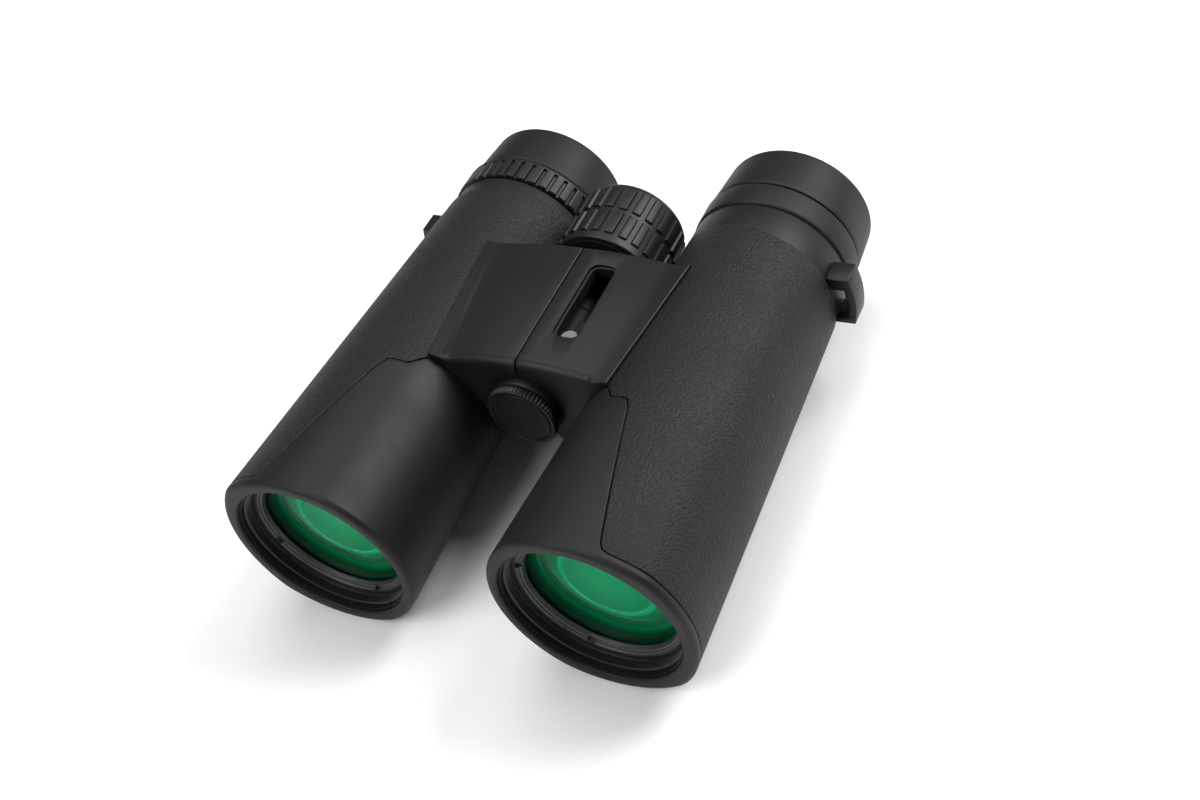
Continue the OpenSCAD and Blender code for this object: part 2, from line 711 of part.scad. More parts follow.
module focus_wheel_grip() color(skin_colour) on_hinge(-1) {
    grip_front = wheel_front + 0.4;
    base_r = wheel_r - pad_h;
    edge_r = 2.4;
    plain_end = 2.5;
    row_gap = 1.3;
    pad_l = (wheel_back - grip_front - 2 * plain_end - row_gap) / 2;
    turned(concat([[wheel_r - grip_t, grip_front], [base_r - 0.5, grip_front],
        [base_r, grip_front + 0.5]],
        [for (a = [0 : 15 : 75]) [base_r - edge_r + edge_r * cos(a),
            wheel_back - edge_r + edge_r * sin(a)]],
        [[wheel_r - grip_t - 1, wheel_back], [wheel_r - grip_t - 1.8, wheel_back],
            [wheel_r - grip_t - 1.8, wheel_back - 1.2], [wheel_r - grip_t, wheel_back - 1.2]]));
    for (y = [grip_front + plain_end, grip_front + plain_end + pad_l + row_gap]) intersection() {
        ring(base_r - 0.4, wheel_r, y, y + pad_l);
        for (i = [0 : wheel_pads - 1]) rotate([0, i * 360 / wheel_pads, 0])
            bar(-pad_w / 2, pad_w / 2, y - 1, y + pad_l + 1, base_r - 2, wheel_r + 1);
    }
}

module focus_wheel_end_cap() color(smooth_colour) on_hinge(-1)
    turned([[0, wheel_back - 3], [wheel_r - grip_t - 1.8, wheel_back - 3],
        [wheel_r - grip_t - 1.8, wheel_back - 0.5], [wheel_r - grip_t - 2.4, wheel_back],
        [0, wheel_back]]);

barrel_tube(-1);  // right_barrel_tube
armour(-1);  // right_armour
front_panel(-1);  // right_front_panel
objective_cell(-1);  // right_objective_cell
objective_lens(-1);  // right_objective_lens
objective_retainer(-1);  // right_objective_retainer
focusing_cell(-1);  // right_focusing_cell
focusing_lens(-1);  // right_focusing_lens
prism_frame(-1);  // right_prism_frame
schmidt_prism(-1);  // right_schmidt_prism
half_penta_prism(-1);  // right_half_penta_prism
eyepiece_housing(-1);  // right_eyepiece_housing
eyecup_guide(-1);  // right_eyecup_guide
field_lens_cell(-1);  // right_field_lens_cell
field_lens(-1);  // right_field_lens
eye_lens(-1);  // right_eye_lens
eyecup_drive_ring(-1);  // right_eyecup_drive_ring
eyecup_sleeve(-1);  // right_eyecup_sleeve
rubber_eyecup(-1);  // right_rubber_eyecup
strap_lug(-1);  // right_strap_lug
bridge_cover(-1);  // right_bridge_cover
hinge_arm(-1);  // right_hinge_arm
focus_arm(-1);  // right_focus_arm
barrel_tube(1);  // left_barrel_tube
armour(1);  // left_armour
front_panel(1);  // left_front_panel
objective_cell(1);  // left_objective_cell
objective_lens(1);  // left_objective_lens
objective_retainer(1);  // left_objective_retainer
focusing_cell(1);  // left_focusing_cell
focusing_lens(1);  // left_focusing_lens
prism_frame(1);  // left_prism_frame
schmidt_prism(1);  // left_schmidt_prism
half_penta_prism(1);  // left_half_penta_prism
eyepiece_housing(1);  // left_eyepiece_housing
eyecup_guide(1);  // left_eyecup_guide
field_lens_cell(1);  // left_field_lens_cell
field_lens(1);  // left_field_lens
eye_lens(1);  // left_eye_lens
eyecup_drive_ring(1);  // left_eyecup_drive_ring
eyecup_sleeve(1);  // left_eyecup_sleeve
rubber_eyecup(1);  // left_rubber_eyecup
strap_lug(1);  // left_strap_lug
bridge_cover(1);  // left_bridge_cover
hinge_arm(1);  // left_hinge_arm
focus_arm(1);  // left_focus_arm
dioptre_ring();
eyepiece_collar();
tripod_socket_pin();
rear_hinge_pin();
hinge_washers();
hinge_collar();
tripod_cap();
tripod_cap_seal();
focus_carriage();
focus_index();
focus_screw();
focus_wheel_hub();
focus_wheel_grip();
focus_wheel_end_cap();
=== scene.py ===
from math import atan2, cos, exp, log, pi, radians, sin, sqrt, tan

import bmesh
import bpy
from mathutils import Matrix, Vector


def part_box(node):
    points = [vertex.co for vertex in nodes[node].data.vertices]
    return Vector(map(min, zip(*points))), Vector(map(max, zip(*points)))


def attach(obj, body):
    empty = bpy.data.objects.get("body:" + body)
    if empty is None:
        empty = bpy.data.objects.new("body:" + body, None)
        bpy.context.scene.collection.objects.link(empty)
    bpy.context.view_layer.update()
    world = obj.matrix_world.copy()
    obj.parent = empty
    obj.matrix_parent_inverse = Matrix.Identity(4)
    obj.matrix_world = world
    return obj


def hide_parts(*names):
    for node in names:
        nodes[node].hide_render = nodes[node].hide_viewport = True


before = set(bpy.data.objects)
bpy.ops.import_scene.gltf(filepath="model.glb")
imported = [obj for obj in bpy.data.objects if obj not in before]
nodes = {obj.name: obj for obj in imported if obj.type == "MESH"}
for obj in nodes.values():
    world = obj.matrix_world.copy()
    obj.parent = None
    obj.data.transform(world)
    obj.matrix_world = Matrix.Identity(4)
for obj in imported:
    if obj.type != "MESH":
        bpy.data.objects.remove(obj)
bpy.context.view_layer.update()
print("frame loaded:", len(nodes), "parts")

mm = 0.001
tiny = 1e-6  # metres, below which two places are one
rightSide, leftSide = -1, 1  # the user's own right and left; left is +X
sideName = {rightSide: "right", leftSide: "left"}


# places that everything is built from

def middleOf(node):
    low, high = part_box(node)
    return (low + high) / 2


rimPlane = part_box("left_front_panel")[0].y
barrelX = middleOf("left_objective_lens").x
barrelZ = middleOf("left_objective_lens").z
hingeZ = middleOf("focus_screw").z


def backOf(node, end):  # mm behind the rims of a part's front (0) or rear (1) end
    return (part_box(node)[end].y - rimPlane) / mm


def barrelPoint(side, out, back, up):  # mm from a barrel's axis, out is away from the hinge
    return Vector((side * (barrelX + out * mm), rimPlane + back * mm, barrelZ + up * mm))


def barrelAxis(side):
    return Vector((side * barrelX, 0, barrelZ))


hingeAxis = Vector((0, 0, hingeZ))


# working in edit mode

def deselectAll():
    if bpy.context.mode != "OBJECT":
        bpy.ops.object.mode_set(mode="OBJECT")
    bpy.ops.object.select_all(action="DESELECT")


def pick(piece):
    deselectAll()
    piece.select_set(True)
    bpy.context.view_layer.objects.active = piece


def edit(piece, mode="FACE"):
    pick(piece)
    bpy.ops.object.mode_set(mode="EDIT")
    bpy.ops.mesh.select_mode(type=mode)
    bpy.ops.mesh.select_all(action="DESELECT")


def selectFaces(piece, wanted):
    bpy.ops.mesh.select_mode(type="FACE")
    bpy.ops.mesh.select_all(action="DESELECT")
    mesh = bmesh.from_edit_mesh(piece.data)
    for face in mesh.faces:
        if wanted(face.calc_center_median(), face.normal):
            face.select_set(True)
    bmesh.update_edit_mesh(piece.data)


def selectEdges(piece, wanted):
    bpy.ops.mesh.select_mode(type="EDGE")
    bpy.ops.mesh.select_all(action="DESELECT")
    mesh = bmesh.from_edit_mesh(piece.data)
    for edge in mesh.edges:
        if wanted(edge.verts[0].co, edge.verts[1].co):
            edge.select_set(True)
    bmesh.update_edit_mesh(piece.data)


def faceOutwards():  # the last step in edit mode
    bpy.ops.mesh.select_all(action="SELECT")
    bpy.ops.mesh.normals_make_consistent(inside=False)
    bpy.ops.object.mode_set(mode="OBJECT")


def closeUp(piece, gap=2 * tiny):
    bpy.ops.object.mode_set(mode="EDIT")
    bpy.ops.mesh.select_all(action="SELECT")
    bpy.ops.mesh.remove_doubles(threshold=gap)
    bpy.ops.mesh.dissolve_degenerate(threshold=gap / 2)
    faceOutwards()


def smooth(piece, degrees=35):
    pick(piece)
    bpy.ops.object.shade_smooth_by_angle(angle=radians(degrees))


def applyModifier(piece, kind, **settings):
    pick(piece)
    modifier = piece.modifiers.new(kind.title(), kind)
    for key, value in settings.items():
        setattr(modifier, key, value)
    bpy.ops.object.modifier_apply(modifier=modifier.name)


def mirrored(piece, name):  # the same piece on the other barrel, with its own mesh
    pick(piece)
    bpy.ops.object.duplicate(linked=False)
    twin = bpy.context.object
    twin.name = twin.data.name = name
    bpy.ops.object.mode_set(mode="EDIT")
    bpy.ops.mesh.select_all(action="SELECT")
    bpy.ops.transform.resize(value=(-1, 1, 1), center_override=(0, 0, 0))
    faceOutwards()
    return twin


def turned(name, axis, outline, columns=120):
    # a circle across the axis, extruded and resized from point to point of its outline:
    # (radius, mm behind the rims)
    radius, back = outline[0]
    deselectAll()
    bpy.ops.mesh.primitive_circle_add(vertices=columns, radius=radius * mm, rotation=(pi / 2, 0, 0),
                                      location=(axis.x, rimPlane + back * mm, axis.z))
    piece = bpy.context.object
    piece.name = piece.data.name = name
    bpy.ops.object.transform_apply(location=True, rotation=True, scale=True)
    bpy.ops.object.mode_set(mode="EDIT")
    bpy.ops.mesh.select_mode(type="VERT")
    bpy.ops.mesh.select_all(action="SELECT")
    for nextRadius, nextBack in outline[1:]:
        bpy.ops.mesh.extrude_region_move(TRANSFORM_OT_translate={"value": (0, (nextBack - back) * mm, 0)})
        grow = nextRadius / radius
        if abs(grow - 1) > 1e-6:
            middle = (axis.x, rimPlane + nextBack * mm, axis.z)
            bpy.ops.transform.resize(value=(grow, 1, grow), center_override=middle)
        radius, back = max(nextRadius, 1e-6), nextBack  # a last point on the axis closes the piece
    closeUp(piece)
    bpy.ops.object.mode_set(mode="EDIT")
    bpy.ops.mesh.select_mode(type="EDGE")
    bpy.ops.mesh.select_all(action="DESELECT")
    bpy.ops.mesh.select_non_manifold()
    if piece.data.total_edge_sel:
        bpy.ops.mesh.edge_face_add()  # the open end of a stud or disc
    faceOutwards()
    return piece


def pressRows(piece, axis, columns, presses, slack=0.03):
    # moves chosen columns of chosen rings towards the axis, all in mm:
    # (radius, back, period, columns in it, depth)
    edit(piece, "VERT")
    mesh = bmesh.from_edit_mesh(piece.data)
    placed = []
    for vertex in mesh.verts:
        x, z = vertex.co.x - axis.x, vertex.co.z - axis.z
        column = round(atan2(x, z) / (2 * pi) * columns)
        placed.append((vertex, sqrt(x * x + z * z) / mm, (vertex.co.y - rimPlane) / mm, column))
    for radius, back, period, chosen, depth in presses:
        for vertex, itsRadius, itsBack, column in placed:
            onRing = abs(itsRadius - radius) < slack and abs(itsBack - back) < slack
            vertex.select_set(onRing and column % period in chosen)
        mesh.select_flush_mode()
        bmesh.update_edit_mesh(piece.data)
        share = (radius - depth) / radius
        middle = (axis.x, rimPlane + back * mm, axis.z)
        bpy.ops.transform.resize(value=(share, 1, share), center_override=middle)
    faceOutwards()


def cutWith(piece, cutter, kind="DIFFERENCE"):
    applyModifier(piece, "BOOLEAN", object=cutter, operation=kind, solver="EXACT")
    bpy.data.objects.remove(cutter, do_unlink=True)


def block(low, high):  # a box between two corners, in metres
    deselectAll()
    middle = (Vector(low) + Vector(high)) / 2
    bpy.ops.mesh.primitive_cube_add(size=1, location=middle, scale=Vector(high) - Vector(low))
    piece = bpy.context.object
    bpy.ops.object.transform_apply(location=True, rotation=True, scale=True)
    return piece


def rod(axis, radius, front, back, rearRadius=None, columns=64):
    deselectAll()
    bpy.ops.mesh.primitive_cone_add(vertices=columns, radius1=radius * mm,
                                    radius2=(rearRadius or radius) * mm, depth=(back - front) * mm,
                                    rotation=(-pi / 2, 0, 0),
                                    location=(axis.x, rimPlane + (front + back) / 2 * mm, axis.z))
    piece = bpy.context.object
    bpy.ops.object.transform_apply(location=True, rotation=True, scale=True)
    return piece


def finished(piece, body, material, slot, *replaced, angle=35):
    smooth(piece, angle)
    piece.data.materials.clear()
    piece.data.materials.append(material)
    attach(piece, body)
    if replaced:
        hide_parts(*replaced)
    return piece


# materials

def toLinear(code):
    shares = [int(code[i:i + 2], 16) / 255 for i in (1, 3, 5)]
    return tuple(s / 12.92 if s <= 0.04045 else ((s + 0.055) / 1.055) ** 2.4 for s in shares) + (1,)


def addNode(tree, kind, settings={}, links={}, feeds={}):
    # a node with its own values, the sockets that come in and the sockets it goes to
    node = tree.nodes.new(kind)
    for key, value in settings.items():
        if isinstance(key, str) and hasattr(node, key):
            setattr(node, key, value)
        else:
            node.inputs[key].default_value = value
    for key, source in links.items():
        tree.links.new(source, node.inputs[key])
    for key, target in feeds.items():
        tree.links.new(node.outputs[key], target)
    return node


def newMaterial(name, **settings):
    material = bpy.data.materials.new(name)
    material.use_nodes = True
    tree = material.node_tree
    shader = tree.nodes["Principled BSDF"]
    for key, value in settings.items():
        shader.inputs[key.replace("_", " ")].default_value = value
    place = addNode(tree, "ShaderNodeTexCoord").outputs["Object"]
    return material, tree, shader, place


def perMm(size):  # texture scale whose features are this many mm across
    return 1 / (size * mm)


def mouldedRubber(name, dark, light, roughness, grainMm, grainDepth, pebbleMm=0.0, pebbleDepth=0.0):
    material, tree, shader, place = newMaterial(name, IOR=1.5, Specular_IOR_Level=0.27)
    wear = addNode(tree, "ShaderNodeTexNoise", {"Scale": perMm(22), "Detail": 3.0, "Roughness": 0.6},
                   {"Vector": place})
    grain = addNode(tree, "ShaderNodeTexNoise", {"Scale": perMm(grainMm), "Detail": 2.0}, {"Vector": place})
    share = wear.outputs["Fac"]
    bump = addNode(tree, "ShaderNodeBump", {"Strength": 1.0, "Distance": grainDepth * mm},
                   {"Height": grain.outputs["Fac"]})
    if pebbleMm:
        drift = addNode(tree, "ShaderNodeTexNoise", {"Scale": perMm(pebbleMm * 2), "Detail": 1.0},
                        {"Vector": place})
        bent = addNode(tree, "ShaderNodeVectorMath",
                       {"operation": "MULTIPLY_ADD", 1: (pebbleMm * mm * 0.6,) * 3},
                       {0: drift.outputs["Color"], 2: place})
        pebbles = addNode(tree, "ShaderNodeTexVoronoi",
                          {"feature": "SMOOTH_F1", "Scale": perMm(pebbleMm), "Smoothness": 0.35},
                          {"Vector": bent.outputs[0]})
        height = addNode(tree, "ShaderNodeMapRange",
                         {"From Min": 0.1, "From Max": 0.7, "To Min": 1.0, "To Max": 0.0},
                         {"Value": pebbles.outputs["Distance"]}).outputs["Result"]
        bump = addNode(tree, "ShaderNodeBump", {"Strength": 1.0, "Distance": pebbleDepth * mm},
                       {"Height": height, "Normal": bump.outputs["Normal"]})
        # the colour follows the wear at random and the pebble height: the hollows between pebbles are darker,
        # a painted shade
        halfWear = addNode(tree, "ShaderNodeMapRange", {"To Max": 0.5}, {"Value": wear.outputs["Fac"]})
        share = addNode(tree, "ShaderNodeMath", {"operation": "MULTIPLY_ADD", 1: 0.5},
                        {0: height, 2: halfWear.outputs["Result"]}).outputs[0]
    addNode(tree, "ShaderNodeMix", {"data_type": "RGBA", 6: toLinear(dark), 7: toLinear(light)},
            {0: share}, {2: shader.inputs["Base Color"]})
    addNode(tree, "ShaderNodeMapRange",
            {"From Min": 0.3, "From Max": 0.7, "To Min": roughness - 0.05, "To Max": roughness + 0.07},
            {"Value": wear.outputs["Fac"]}, {"Result": shader.inputs["Roughness"]})
    tree.links.new(bump.outputs["Normal"], shader.inputs["Normal"])
    return material


# thermoplastic rubber moulded over the barrels: a fine leather-like pebble breaks the light into soft grain;
# its colour is lighter on the pebble tops and darker in the hollows between them, a painted shade
pebbledArmour = mouldedRubber("pebbledArmourRubber", "#0a0a0a", "#1c1c1c", 0.58, 0.3, 0.02, 0.62, 0.13)
# the same rubber moulded in a polished part of the tool: matt, even, with slow soft highlights
smoothArmour = mouldedRubber("smoothArmourRubber", "#0d0d0d", "#151515", 0.52, 0.35, 0.012)
# soft eyecup rubber: matt and a shade darker than the armour, with no grain to be seen
eyecupRubber = mouldedRubber("siliconeEyecupRubber", "#080808", "#101010", 0.52, 0.45, 0.03)
# firmer rubber of the wheel and dioptre ring, a little glossier on its pads
gripRubber = mouldedRubber("nitrileGripRubber", "#0d0d0d", "#151515", 0.42, 0.4, 0.012)
# spark-eroded satin ABS of the bridge covers: flat dark grey, small even texture
bridgePlastic = mouldedRubber("satinAbsPlastic", "#0d0d0d", "#131313", 0.44, 0.3, 0.006)
# black glass-filled polycarbonate of the chassis, hidden but for gaps and the underside; made near-black as
# painted shade for those gaps and the window
chassisPlasticAndShade = mouldedRubber("glassFilledPolycarbonate", "#040404", "#080808", 0.6, 0.5, 0.02)
# nitrile seal ring, dull black
sealRubber = mouldedRubber("nitrileSealRubber", "#0c0c0c", "#161616", 0.65, 0.4, 0.01)


def tippedPointer(name, tip=1.2):
    # black acetal arm whose round end, seen in the window, is pale grey on top: a painted highlight standing
    # for light that falls through the window on it; tip is how many mm of it
    material = mouldedRubber(name, "#5e5e5d", "#747473", 0.5, 0.6, 0.005)
    tree = material.node_tree
    shader = tree.nodes["Principled BSDF"]
    place = addNode(tree, "ShaderNodeTexCoord").outputs["Object"]
    height = addNode(tree, "ShaderNodeSeparateXYZ", {}, {0: place}).outputs["Z"]
    # the top tip mm are pale, a painted highlight; below them the arm is black
    paintedHighlightMask = addNode(tree, "ShaderNodeMath",
                      {"operation": "GREATER_THAN", 1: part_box("focus_index")[1].z - tip * mm}, {0: height})
    paintedHighlightColour = shader.inputs["Base Color"].links[0].from_socket
    addNode(tree, "ShaderNodeMix", {"data_type": "RGBA", 6: toLinear("#050505")},
            {0: paintedHighlightMask.outputs[0], 7: paintedHighlightColour}, {2: shader.inputs["Base Color"]})
    return material


pointerAcetal = tippedPointer("paintedAcetalPointer")


def cloudedMaterial(name, dark, light, cloudMm, detail, **settings):
    # a soft cloud, so many mm across, drifts between two colours
    material, tree, shader, place = newMaterial(name, **settings)
    cloud = addNode(tree, "ShaderNodeTexNoise", {"Scale": perMm(cloudMm), "Detail": detail},
                    {"Vector": place})
    addNode(tree, "ShaderNodeMix", {"data_type": "RGBA", 6: toLinear(dark), 7: toLinear(light)},
            {0: cloud.outputs["Fac"]}, {2: shader.inputs["Base Color"]})
    return material, tree, shader, place, cloud


def turnedMetal(name, dark, light, roughness, metallic, toolMm):
    # fine rings left by the turning tool, drawn along the barrel's length
    material, tree, shader, place, cloud = cloudedMaterial(name, dark, light, 6, 3.0, Metallic=metallic)
    rings = addNode(tree, "ShaderNodeTexWave", {"bands_direction": "Y", "Scale": perMm(toolMm) / 20 * pi,
                                                "Distortion": 0.6, "Detail": 1.0}, {"Vector": place})
    addNode(tree, "ShaderNodeMapRange",
            {"From Min": 0.3, "From Max": 0.7, "To Min": roughness - 0.05, "To Max": roughness + 0.08},
            {"Value": cloud.outputs["Fac"]}, {"Result": shader.inputs["Roughness"]})
    addNode(tree, "ShaderNodeBump", {"Strength": 0.5, "Distance": 0.01 * mm},
            {"Height": rings.outputs["Fac"]}, {"Normal": shader.inputs["Normal"]})
    return material


# black anodised aluminium: absorbs most light, a dull gleam on its turned edges
blackAnodised = turnedMetal("blackAnodisedAluminium", "#0b0b0b", "#141414", 0.5, 0.0, 0.35)
# the retaining ring is anodised over bright-turned metal, a dark satin grey
greyAnodised = turnedMetal("satinAnodisedAluminium", "#484849", "#5a5a5b", 0.42, 0.6, 0.3)
# ground stainless pin and screw: bright, with fine rings
stainless = turnedMetal("groundStainlessSteel", "#9fa0a2", "#bcbdbf", 0.28, 1.0, 0.25)
# black-oxide steel of the focus arms and carriage: dark and dull, and made near-black as painted shade so the
# window looks deep
blackOxideAndShade = turnedMetal("blackOxideSteel", "#060606", "#0d0d0d", 0.5, 0.2, 0.25)
# machined brass socket and washers, slightly dulled
machinedBrass = turnedMetal("machinedBrass", "#a8884c", "#c7a668", 0.3, 1.0, 0.25)


def paintedCoatingReflection(name, side, edge):
    # the green that the coated glasses throw back, painted into the colour as a painted reflection, with a
    # bright ring that is a painted highlight and painted shade deepening towards the edge in thin rings; edge
    # in mm
    material, tree, shader, place = newMaterial(name, IOR=1.3, Roughness=0.35,
                                                Specular_Tint=toLinear("#18c088"))
    axis = barrelAxis(side)
    flat = addNode(tree, "ShaderNodeMapping", {"Location": (-axis.x / mm, 0, -axis.z / mm),
                                               "Scale": (1 / mm, 0, 1 / mm)}, {"Vector": place})
    out = addNode(tree, "ShaderNodeVectorMath", {"operation": "LENGTH"}, {0: flat.outputs[0]})
    share = addNode(tree, "ShaderNodeMapRange", {"From Max": edge}, {"Value": out.outputs["Value"]})
    ramp = addNode(tree, "ShaderNodeValToRGB", {}, {"Fac": share.outputs["Result"]},
                   {"Color": shader.inputs["Base Color"]})
    # the bright stop at 0.58 is a painted ring highlight, the darkening stops towards the edge are painted
    # shade
    stops = [(0.0, "#009a68"), (0.5, "#009463"), (0.58, "#20c890"), (0.61, "#009060"), (0.77, "#008c58"),
             (0.79, "#005c3a"), (0.87, "#007c4e"), (0.89, "#00482e"), (1.0, "#003820")]
    while len(ramp.color_ramp.elements) < len(stops):
        ramp.color_ramp.elements.new(0.5)
    for element, (at, colour) in zip(ramp.color_ramp.elements, stops):
        element.position, element.color = at, toLinear(colour)
    return material


# multi-coated crown glass: its faces throw back almost nothing, what is seen through it has a green cast
frontGlass = cloudedMaterial("coatedCrownGlass", "#dcf8ee", "#e8fbf4", 14, 2.0, IOR=1.09, Roughness=0.0,
                             Transmission_Weight=1.0, Specular_Tint=toLinear("#4fe0a8"))[0]
# eye lenses: a faint dark green coating over dark optics, their darkness a painted shade of the unlit inside
# seen through the glass
eyeGlassAndShade = cloudedMaterial("coatedEyeGlass", "#0a1f1c", "#12302c", 9, 1.0, IOR=1.52, Roughness=0.03,
                           Coat_Weight=1.0)[0]
# prisms and inner lenses: clear optical glass, only seen if the part is opened
prismGlass = cloudedMaterial("opticalGlass", "#e4f0ec", "#f0f6f4", 12, 2.0, IOR=1.57, Roughness=0.02,
                             Transmission_Weight=1.0)[0]
print("materials made")


# barrel skins

barrel = {
    "rimRadius": 26.0, "neckRadius": 21.9, "length": 105.0,  # the armour tapers from rim to neck
    "flatFront": 5.0, "flatBack": 2.0,  # how far the top, bottom and outer faces are flatter than round
    "innerFlatFront": 2.0, "innerFlatBack": 1.0, "innerSink": 0.5,
    "ridgeSoftness": 0.15,  # mm that the ridges between the faces are rounded by
    "wall": 1.5, "innerRows": 5, "seamRound": 0.32, "seamGap": 0.16,
}


def skinRadius(angle, back):  # mm from the barrel's axis; angle from the top, outwards
    along = back / barrel["length"]
    plain = barrel["rimRadius"] + (barrel["neckRadius"] - barrel["rimRadius"]) * along
    outer = barrel["flatFront"] + (barrel["flatBack"] - barrel["flatFront"]) * along
    inner = barrel["innerFlatFront"] + (barrel["innerFlatBack"] - barrel["innerFlatFront"]) * along
    faces = [(0, outer, 0), (pi / 2, outer, 0), (pi, outer, 0), (-pi / 2, inner, barrel["innerSink"])]
    sharpness = log(2) / barrel["ridgeSoftness"]
    total = 0
    for turn, flat, sink in faces:
        off = angle - turn
        wide = (plain + flat - sink) ** 2 - (flat * sin(off)) ** 2
        total += exp(-sharpness * (sqrt(wide) - flat * cos(off) - plain))
    return plain - log(total) / sharpness


# the seam between smooth panel and pebbled armour, seen from above:
# (mm outwards from the axis, mm behind the rims)
bridgeFront = backOf("left_bridge_cover", 0)
bridgeBack = backOf("left_bridge_cover", 1)
rimDepth = 2.4
seamOutline = [(-40, bridgeFront), (-12.5, bridgeFront), (-9, bridgeFront - 4.3), (-5.6, bridgeFront - 4.6),
               (-4, bridgeFront - 5.2), (-2.6, bridgeFront - 8), (7.4, 5.6), (7.9, 4.1), (8.8, 2.9),
               (10.5, rimDepth), (40, rimDepth)]


def seamBack(out):
    for (x0, y0), (x1, y1) in zip(seamOutline, seamOutline[1:]):
        if x0 <= out <= x1:
            return y0 + (y1 - y0) * (out - x0) / (x1 - x0)


def seamAt(angle, shift=0.0):  # where a column of the skin crosses the seam, moved outwards by shift
    back = 20.0
    for _ in range(8):
        back = seamBack(skinRadius(angle, back) * sin(angle) - shift)
    return back


def columnAngles():  # close together where the seams run, wider elsewhere
    angles, angle = [], -180.0
    while angle < 179.9:
        angles.append(radians(angle))
        folded = angle if abs(angle) <= 90 else (180 - angle if angle > 0 else -180 - angle)
        angle += 0.75 if -33 <= folded < 26 else 3.0
    return angles


skinAngles = columnAngles()
print("skin columns:", len(skinAngles))


def steepness(angle, border):  # how many mm along the barrel make one mm across the border
    step = radians(0.4)
    rise = (border(angle + step) - border(angle - step)) / (2 * step * skinRadius(angle, border(angle)))
    return min(sqrt(1 + rise * rise), 4.5)


roundingSteps = [0.0, 0.08, 0.2, 0.36, 0.6, 1.0]  # shares of the rounding's radius, from the border inwards


def roundedBorder(angle, border, inwards):
    # rows that roll the skin over at a border: (radius, back) from the border towards the skin
    radius = barrel["seamRound"]
    lean = steepness(angle, border)
    rows = []
    for share in roundingSteps:
        back = border(angle) + inwards * share * radius * lean
        drop = radius - sqrt(max(radius ** 2 - ((1 - share) * radius) ** 2, 0))
        rows.append((skinRadius(angle, back) - drop, back))
    return rows


def between(first, last, count):
    return [first + (last - first) * (i + 1) / (count + 1) for i in range(count)]


def wrappedShell(name, side, rowsAt):
    # a grid rolled right round the barrel and closed on itself, its rows placed along each column
    paths = [rowsAt(angle) for angle in skinAngles]
    columns, rows = len(paths), len(paths[0])
    deselectAll()
    bpy.ops.mesh.primitive_grid_add(x_subdivisions=columns, y_subdivisions=rows, size=2)
    piece = bpy.context.object
    piece.name = piece.data.name = name
    for vertex in piece.data.vertices:
        column = round((vertex.co.x + 1) / 2 * columns) % columns
        row = round((vertex.co.y + 1) / 2 * rows) % rows
        radius, back = paths[column][row]
        angle = skinAngles[column]
        vertex.co = barrelPoint(side, radius * sin(angle), back, radius * cos(angle))
    closeUp(piece)
    return piece


armour = {"rearBack": 104.9, "rearSlant": 1.9, "rightRearShift": 4.6, "rows": 40}


def armourRows(side):
    def frontBorder(angle):
        return seamAt(angle, barrel["seamGap"]) + barrel["seamGap"]

    def rearBorder(angle):
        shift = armour["rightRearShift"] if side == rightSide else 0
        return armour["rearBack"] + shift + armour["rearSlant"] * (1 - sin(angle))

    def rowsAt(angle):
        front = roundedBorder(angle, frontBorder, 1)
        rear = roundedBorder(angle, rearBorder, -1)
        rows = front + [(skinRadius(angle, back), back) for back in
                        between(front[-1][1], rear[-1][1], armour["rows"])]
        rows += rear[::-1]
        first, last = rearBorder(angle), frontBorder(angle)
        inner = [(skinRadius(angle, back) - barrel["wall"], back) for back in
                 [first] + between(first, last, barrel["innerRows"]) + [last]]
        return rows + inner
    return rowsAt


panel = {"boreRadius": 22.5, "innerRound": 0.7, "outerRound": 1.5, "rows": 34}


def panelRows(angle):
    # the rim's bore, its rounded front, the skin back to the seam, then home along the inside
    bore, inner, outer = panel["boreRadius"], panel["innerRound"], panel["outerRound"]
    rows = [(bore, rimDepth), (bore, inner)]
    rows += [(bore + inner * (1 - cos(radians(t))), inner * (1 - sin(radians(t)))) for t in (22, 45, 68, 90)]
    edge = skinRadius(angle, 0)
    rows += [(edge - outer * (1 - sin(radians(t))), outer * (1 - cos(radians(t))))
             for t in (0, 15, 30, 45, 60, 75)]

    def border(a):
        return max(seamAt(a), rimDepth)

    rear = roundedBorder(angle, border, -1)[::-1]
    start = max(min(outer, rear[0][1] - 0.2), 1.2)
    rear = [(r, max(b, start + 0.05 + 0.04 * i)) for i, (r, b) in enumerate(rear)]
    rows += [(skinRadius(angle, back), back) for back in [start] + between(start, rear[0][1], panel["rows"])]
    rows += rear
    wall = barrel["wall"]
    rows += [(skinRadius(angle, back) - wall, back) for back in
             [border(angle)] + between(border(angle), rimDepth, barrel["innerRows"])]
    return rows


for side in (rightSide, leftSide):
    name = sideName[side]
    body = name + "_half"
    skin = wrappedShell(name + "PebbledArmour", side, armourRows(side))
    finished(skin, body, pebbledArmour, "textured_armour", name + "_armour", angle=50)
frontPanel = wrappedShell("leftFrontPanel", leftSide, panelRows)
frontPanelTwin = mirrored(frontPanel, "rightFrontPanel")
finished(frontPanel, "left_half", smoothArmour, "smooth_armour", "left_front_panel", angle=50)
finished(frontPanelTwin, "right_half", smoothArmour, "smooth_armour", "right_front_panel", angle=50)
print("barrel skins done")


# eyepieces

eyepiece = {
    "front": backOf("left_rubber_eyecup", 0), "rear": backOf("left_rubber_eyecup", 1),
    "cupRadius": 21.2, "cupRearRadius": 20.3, "cupRound": 1.8, "cupMouth": 16.2, "sleeveRadius": 19.2,
    "driveRadius": 20.5, "guideRadius": 17.8, "boreRadius": 15.2, "collarRadius": 21.6, "ringRadius": 22.1,
    "ringBlocks": 42, "blockDepth": 0.7,
}


